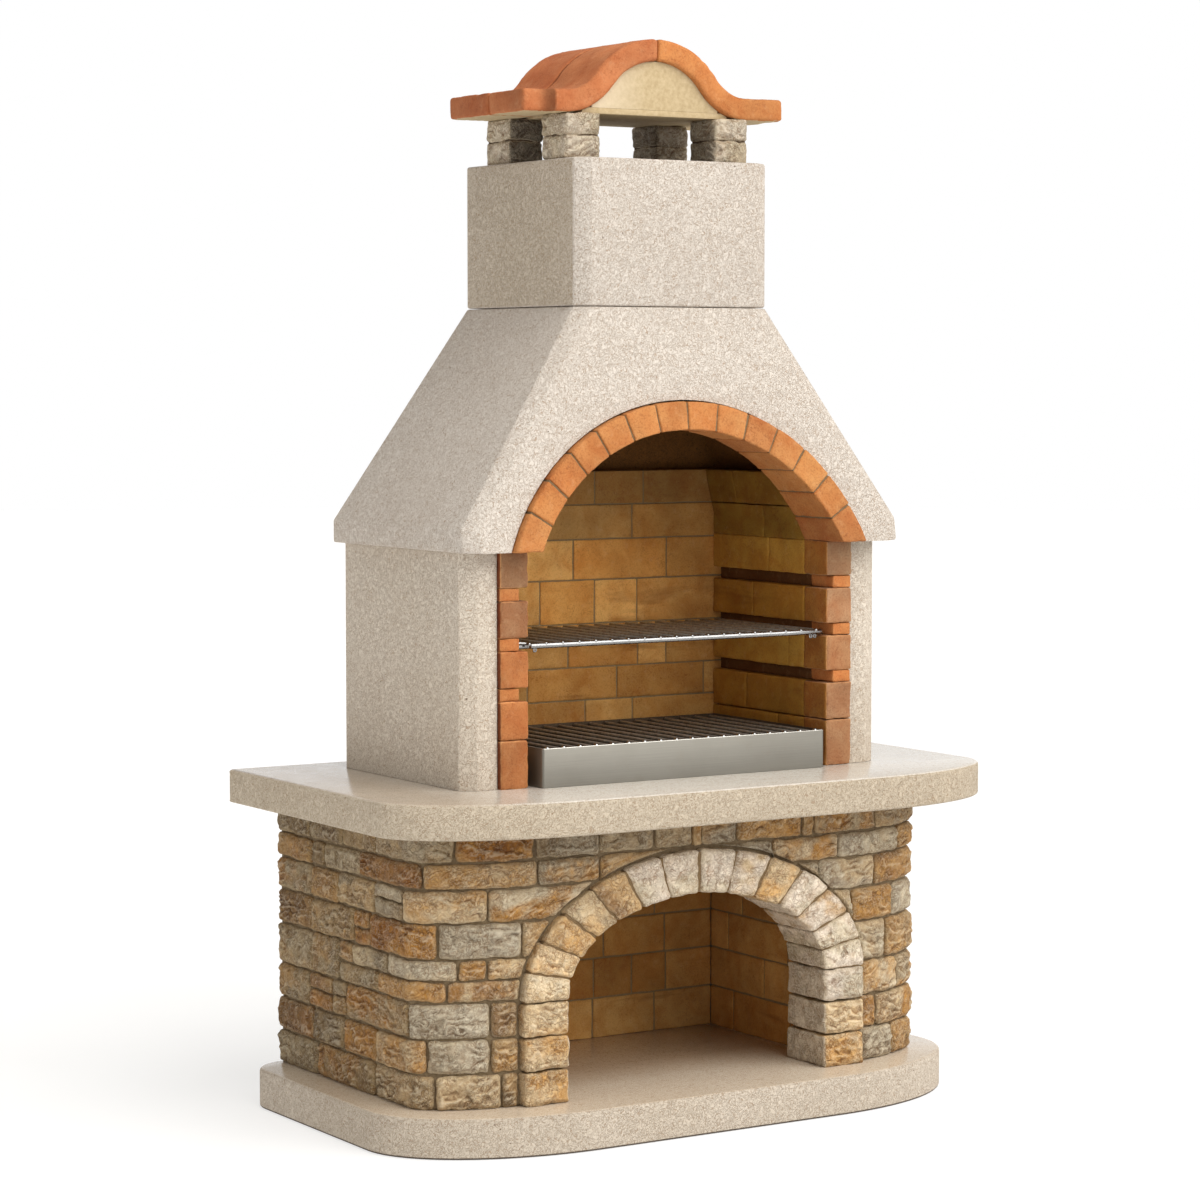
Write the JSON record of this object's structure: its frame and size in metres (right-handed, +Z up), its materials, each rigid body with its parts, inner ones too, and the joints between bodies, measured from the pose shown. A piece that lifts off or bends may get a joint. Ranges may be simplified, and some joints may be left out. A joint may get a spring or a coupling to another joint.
{
  "type": "outdoor masonry barbecue",
  "caption": "Outdoor masonry barbecue: stone-clad base with arched log niche, worktop, brick-lined firebox with sliding grate and charcoal pan, tapering hood and capped chimney.",
  "frame": {"origin": "on the ground, under the middle of the worktop's width and depth", "axes": "+Z up, -Y towards the cook at the front, +X to the cook's right"},
  "size_m": [1.409, 0.816, 2.152],
  "materials": {
    "cast_stone": "fine-grained cast stone, worm-track texture",
    "polished_stone": "cast stone, ground and polished on top",
    "concrete": "rough cast concrete",
    "cladding_stone": "split ochre, tan and grey stone",
    "mortar": "recessed grey-brown mortar",
    "firebrick": "matt yellow-tan firebrick",
    "split_stone": "rock-faced cream stone",
    "clay_brick": "matt terracotta brick",
    "cap_infill": "smooth cream cast stone",
    "roof_tile": "matt terracotta",
    "pan_steel": "brushed stainless sheet",
    "bar_steel": "dark wire, lightly used",
    "grill_steel": "plated wire"
  },
  "bodies": {
    "masonry": {"plinth_slab": "cast_stone", "base_wall_left": "concrete", "base_wall_right": "concrete", "base_wall_rear": "concrete", "base_wall_front": "concrete", "stone_course_1": "cladding_stone", "stone_course_2": "cladding_stone", "stone_course_3": "cladding_stone", "stone_course_4": "cladding_stone", "stone_course_5": "cladding_stone", "stone_course_6": "cladding_stone", "stone_course_7": "cladding_stone", "stone_course_8": "cladding_stone", "bed_mortar": "mortar", "niche_bricks_rear": "firebrick", "niche_bricks_left": "firebrick", "niche_bricks_right": "firebrick", "niche_arch_stones": "split_stone", "niche_arch_mortar": "mortar", "niche_pilaster_left": "split_stone", "niche_pilaster_right": "split_stone", "worktop_slab": "polished_stone", "firebox_wall_left": "cast_stone", "firebox_wall_right": "cast_stone", "firebox_wall_rear": "cast_stone", "firebrick_rear": "firebrick", "side_bricks_left": "firebrick", "side_bricks_right": "firebrick", "groove_bricks_left": "firebrick", "groove_bricks_right": "firebrick", "throat_lining_left": "firebrick", "throat_lining_right": "firebrick", "jamb_bricks_left": "clay_brick", "jamb_bricks_right": "clay_brick", "brick_arch": "clay_brick", "brick_arch_mortar": "mortar", "hood": "cast_stone", "chimney_block": "cast_stone", "cap_pillar_front_left": "split_stone", "cap_pillar_front_right": "split_stone", "cap_pillar_rear_left": "split_stone", "cap_pillar_rear_right": "split_stone", "cap_base_slab": "cap_infill", "cap_gable_front": "cap_infill", "cap_gable_rear": "cap_infill", "cap_tile_front_left": "roof_tile", "cap_tile_front_right": "roof_tile", "cap_tile_rear_left": "roof_tile", "cap_tile_rear_right": "roof_tile"},
    "grill": {"grill_grate": "grill_steel"},
    "pan": {"charcoal_pan": "pan_steel"},
    "ember_rack": {"ember_grate": "bar_steel", "ember_legs": "bar_steel"}
  },
  "joints": [
    {"name": "grill_slide", "type": "slide", "parent": "masonry", "child": "grill", "axis": [0, -1, 0], "range_m": [0, 0.34]},
    {"name": "pan_slide", "type": "slide", "parent": "masonry", "child": "pan", "axis": [0, -1, 0], "range_m": [0, 0.36]},
    {"name": "ember_lift", "type": "slide", "parent": "pan", "child": "ember_rack", "axis": [0, 0, 1], "range_m": [0, 0.12]}
  ]
}
